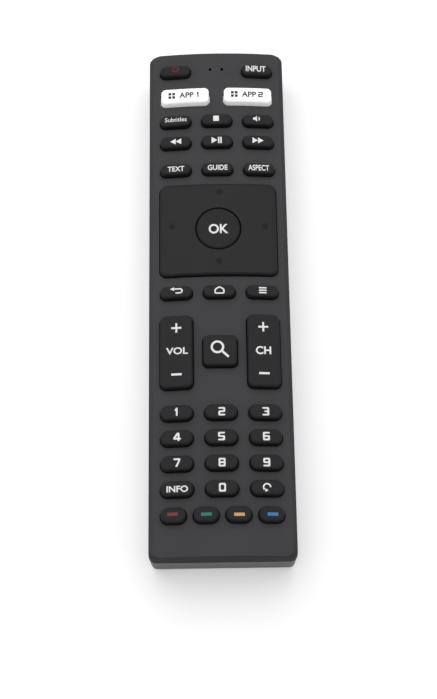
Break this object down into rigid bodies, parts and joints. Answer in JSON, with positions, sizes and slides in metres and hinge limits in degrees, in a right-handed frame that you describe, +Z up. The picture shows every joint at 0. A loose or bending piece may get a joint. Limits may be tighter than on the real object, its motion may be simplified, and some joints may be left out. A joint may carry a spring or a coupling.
{
  "type": "tv remote control",
  "caption": "Long flat hand-held remote control with a crowned face, keys in three columns, a square navigation pad round an OK key, two rockers and a sliding battery door underneath.",
  "frame": {"origin": "middle of the underside that the remote rests on", "axes": "+Y along the length towards the infrared window, +Z up through the keys, +X to the right when the power key is at the far left"},
  "size_m": [0.047, 0.1806, 0.0226],
  "materials": {
    "case_upper": "fine moulded texture",
    "case_lower": "fine moulded texture",
    "key_black": "smooth satin",
    "key_white": "smooth satin",
    "pad_black": "smooth satin",
    "silicone": "moulded",
    "board": "solder mask",
    "steel": "plain",
    "window": "polished dark tint",
    "lens_clear": "clear",
    "lamp": "moulded",
    "light_pipe": "polished smoke tint",
    "chip": "moulded epoxy",
    "capacitor_sleeve": "shrunk sleeve",
    "shield": "tin plate",
    "cell_sleeve": "printed sleeve",
    "contact_metal": "nickel plate"
  },
  "bodies": {
    "root": {"top_case": "case_upper", "bottom_case": "case_lower", "keypad_mat": "silicone", "circuit_board": "board", "case_screws": "steel", "ir_window": "window", "ir_led": "lens_clear", "status_led": "lamp", "light_pipe": "light_pipe", "microphone": "steel", "microphone_gasket": "silicone", "main_chip": "chip", "crystal": "steel", "storage_capacitor": "capacitor_sleeve", "wireless_module": "shield", "battery_left": "cell_sleeve", "battery_right": "cell_sleeve", "contact_positive": "contact_metal", "contact_negative": "contact_metal", "contact_link": "contact_metal"},
    "battery_door": {"battery_door": "case_lower"},
    "navigation_web": {"navigation_web": "silicone"},
    "navigation_pad": {"navigation_pad": "pad_black"},
    "key_ok": {"key_ok": "key_black"},
    "rocker_volume": {"rocker_volume": "key_black"},
    "rocker_channel": {"rocker_channel": "key_black"},
    "key_power": {"key_power": "key_black"},
    "key_app_1": {"key_app_1": "key_white"},
    "key_search": {"key_search": "key_black"},
    "key_5": {"key_5": "key_black"},
    "key_red": {"key_red": "key_black"},
    "key_stop": {"key_stop": "key_black"},
    "key_home": {"key_home": "key_black"},
    "key_input": {"key_input": "key_black"},
    "key_app_2": {"key_app_2": "key_white"},
    "key_subtitles": {"key_subtitles": "key_black"},
    "key_mute": {"key_mute": "key_black"},
    "key_rewind": {"key_rewind": "key_black"},
    "key_play_pause": {"key_play_pause": "key_black"},
    "key_fast_forward": {"key_fast_forward": "key_black"},
    "key_text": {"key_text": "key_black"},
    "key_guide": {"key_guide": "key_black"},
    "key_aspect": {"key_aspect": "key_black"},
    "key_back": {"key_back": "key_black"},
    "key_menu": {"key_menu": "key_black"},
    "key_1": {"key_1": "key_black"},
    "key_2": {"key_2": "key_black"},
    "key_3": {"key_3": "key_black"},
    "key_4": {"key_4": "key_black"},
    "key_6": {"key_6": "key_black"},
    "key_7": {"key_7": "key_black"},
    "key_8": {"key_8": "key_black"},
    "key_9": {"key_9": "key_black"},
    "key_info": {"key_info": "key_black"},
    "key_0": {"key_0": "key_black"},
    "key_recall": {"key_recall": "key_black"},
    "key_green": {"key_green": "key_black"},
    "key_yellow": {"key_yellow": "key_black"},
    "key_blue": {"key_blue": "key_black"}
  },
  "joints": [
    {"name": "door_slide", "type": "slide", "parent": "root", "child": "battery_door", "axis": [0, -1, 0], "range_m": [0, 0.058]},
    {"name": "pad_tip_sideways", "type": "hinge", "parent": "root", "child": "navigation_web", "pos_m": [0, 0.0212, 0.01475], "axis": [0, 1, 0], "range_deg": [-2.5, 2.5], "stiffness_Nm_per_rad": 0.08},
    {"name": "pad_tip_lengthways", "type": "hinge", "parent": "navigation_web", "child": "navigation_pad", "pos_m": [0, 0.0212, 0.01642], "axis": [1, 0, 0], "range_deg": [-2.5, 2.5], "stiffness_Nm_per_rad": 0.08},
    {"name": "press_ok", "type": "slide", "parent": "root", "child": "key_ok", "axis": [0, 0, -1], "range_m": [0, 0.0008], "stiffness_N_per_m": 150},
    {"name": "volume_tip", "type": "hinge", "parent": "root", "child": "rocker_volume", "pos_m": [-0.0142, -0.02255, 0.01475], "axis": [1, 0, 0], "range_deg": [-2.5, 2.5], "stiffness_Nm_per_rad": 0.03},
    {"name": "channel_tip", "type": "hinge", "parent": "root", "child": "rocker_channel", "pos_m": [0.0142, -0.02255, 0.01475], "axis": [1, 0, 0], "range_deg": [-2.5, 2.5], "stiffness_Nm_per_rad": 0.03},
    {"name": "press_power", "type": "slide", "parent": "root", "child": "key_power", "axis": [0, 0, -1], "range_m": [0, 0.0008], "stiffness_N_per_m": 150},
    {"name": "press_app_1", "type": "slide", "parent": "root", "child": "key_app_1", "axis": [0, 0, -1], "range_m": [0, 0.0008], "stiffness_N_per_m": 150},
    {"name": "press_search", "type": "slide", "parent": "root", "child": "key_search", "axis": [0, 0, -1], "range_m": [0, 0.0008], "stiffness_N_per_m": 150},
    {"name": "press_5", "type": "slide", "parent": "root", "child": "key_5", "axis": [0, 0, -1], "range_m": [0, 0.0008], "stiffness_N_per_m": 150},
    {"name": "press_red", "type": "slide", "parent": "root", "child": "key_red", "axis": [0, 0, -1], "range_m": [0, 0.0008], "stiffness_N_per_m": 150},
    {"name": "press_stop", "type": "slide", "parent": "root", "child": "key_stop", "axis": [0, 0, -1], "range_m": [0, 0.0008], "stiffness_N_per_m": 150},
    {"name": "press_home", "type": "slide", "parent": "root", "child": "key_home", "axis": [0, 0, -1], "range_m": [0, 0.0008], "stiffness_N_per_m": 150},
    {"name": "press_input", "type": "slide", "parent": "root", "child": "key_input", "axis": [0, 0, -1], "range_m": [0, 0.0008], "stiffness_N_per_m": 150},
    {"name": "press_app_2", "type": "slide", "parent": "root", "child": "key_app_2", "axis": [0, 0, -1], "range_m": [0, 0.0008], "stiffness_N_per_m": 150},
    {"name": "press_subtitles", "type": "slide", "parent": "root", "child": "key_subtitles", "axis": [0, 0, -1], "range_m": [0, 0.0008], "stiffness_N_per_m": 150},
    {"name": "press_mute", "type": "slide", "parent": "root", "child": "key_mute", "axis": [0, 0, -1], "range_m": [0, 0.0008], "stiffness_N_per_m": 150},
    {"name": "press_rewind", "type": "slide", "parent": "root", "child": "key_rewind", "axis": [0, 0, -1], "range_m": [0, 0.0008], "stiffness_N_per_m": 150},
    {"name": "press_play_pause", "type": "slide", "parent": "root", "child": "key_play_pause", "axis": [0, 0, -1], "range_m": [0, 0.0008], "stiffness_N_per_m": 150},
    {"name": "press_fast_forward", "type": "slide", "parent": "root", "child": "key_fast_forward", "axis": [0, 0, -1], "range_m": [0, 0.0008], "stiffness_N_per_m": 150},
    {"name": "press_text", "type": "slide", "parent": "root", "child": "key_text", "axis": [0, 0, -1], "range_m": [0, 0.0008], "stiffness_N_per_m": 150},
    {"name": "press_guide", "type": "slide", "parent": "root", "child": "key_guide", "axis": [0, 0, -1], "range_m": [0, 0.0008], "stiffness_N_per_m": 150},
    {"name": "press_aspect", "type": "slide", "parent": "root", "child": "key_aspect", "axis": [0, 0, -1], "range_m": [0, 0.0008], "stiffness_N_per_m": 150},
    {"name": "press_back", "type": "slide", "parent": "root", "child": "key_back", "axis": [0, 0, -1], "range_m": [0, 0.0008], "stiffness_N_per_m": 150},
    {"name": "press_menu", "type": "slide", "parent": "root", "child": "key_menu", "axis": [0, 0, -1], "range_m": [0, 0.0008], "stiffness_N_per_m": 150},
    {"name": "press_1", "type": "slide", "parent": "root", "child": "key_1", "axis": [0, 0, -1], "range_m": [0, 0.0008], "stiffness_N_per_m": 150},
    {"name": "press_2", "type": "slide", "parent": "root", "child": "key_2", "axis": [0, 0, -1], "range_m": [0, 0.0008], "stiffness_N_per_m": 150},
    {"name": "press_3", "type": "slide", "parent": "root", "child": "key_3", "axis": [0, 0, -1], "range_m": [0, 0.0008], "stiffness_N_per_m": 150},
    {"name": "press_4", "type": "slide", "parent": "root", "child": "key_4", "axis": [0, 0, -1], "range_m": [0, 0.0008], "stiffness_N_per_m": 150},
    {"name": "press_6", "type": "slide", "parent": "root", "child": "key_6", "axis": [0, 0, -1], "range_m": [0, 0.0008], "stiffness_N_per_m": 150},
    {"name": "press_7", "type": "slide", "parent": "root", "child": "key_7", "axis": [0, 0, -1], "range_m": [0, 0.0008], "stiffness_N_per_m": 150},
    {"name": "press_8", "type": "slide", "parent": "root", "child": "key_8", "axis": [0, 0, -1], "range_m": [0, 0.0008], "stiffness_N_per_m": 150},
    {"name": "press_9", "type": "slide", "parent": "root", "child": "key_9", "axis": [0, 0, -1], "range_m": [0, 0.0008], "stiffness_N_per_m": 150},
    {"name": "press_info", "type": "slide", "parent": "root", "child": "key_info", "axis": [0, 0, -1], "range_m": [0, 0.0008], "stiffness_N_per_m": 150},
    {"name": "press_0", "type": "slide", "parent": "root", "child": "key_0", "axis": [0, 0, -1], "range_m": [0, 0.0008], "stiffness_N_per_m": 150},
    {"name": "press_recall", "type": "slide", "parent": "root", "child": "key_recall", "axis": [0, 0, -1], "range_m": [0, 0.0008], "stiffness_N_per_m": 150},
    {"name": "press_green", "type": "slide", "parent": "root", "child": "key_green", "axis": [0, 0, -1], "range_m": [0, 0.0008], "stiffness_N_per_m": 150},
    {"name": "press_yellow", "type": "slide", "parent": "root", "child": "key_yellow", "axis": [0, 0, -1], "range_m": [0, 0.0008], "stiffness_N_per_m": 150},
    {"name": "press_blue", "type": "slide", "parent": "root", "child": "key_blue", "axis": [0, 0, -1], "range_m": [0, 0.0008], "stiffness_N_per_m": 150}
  ]
}
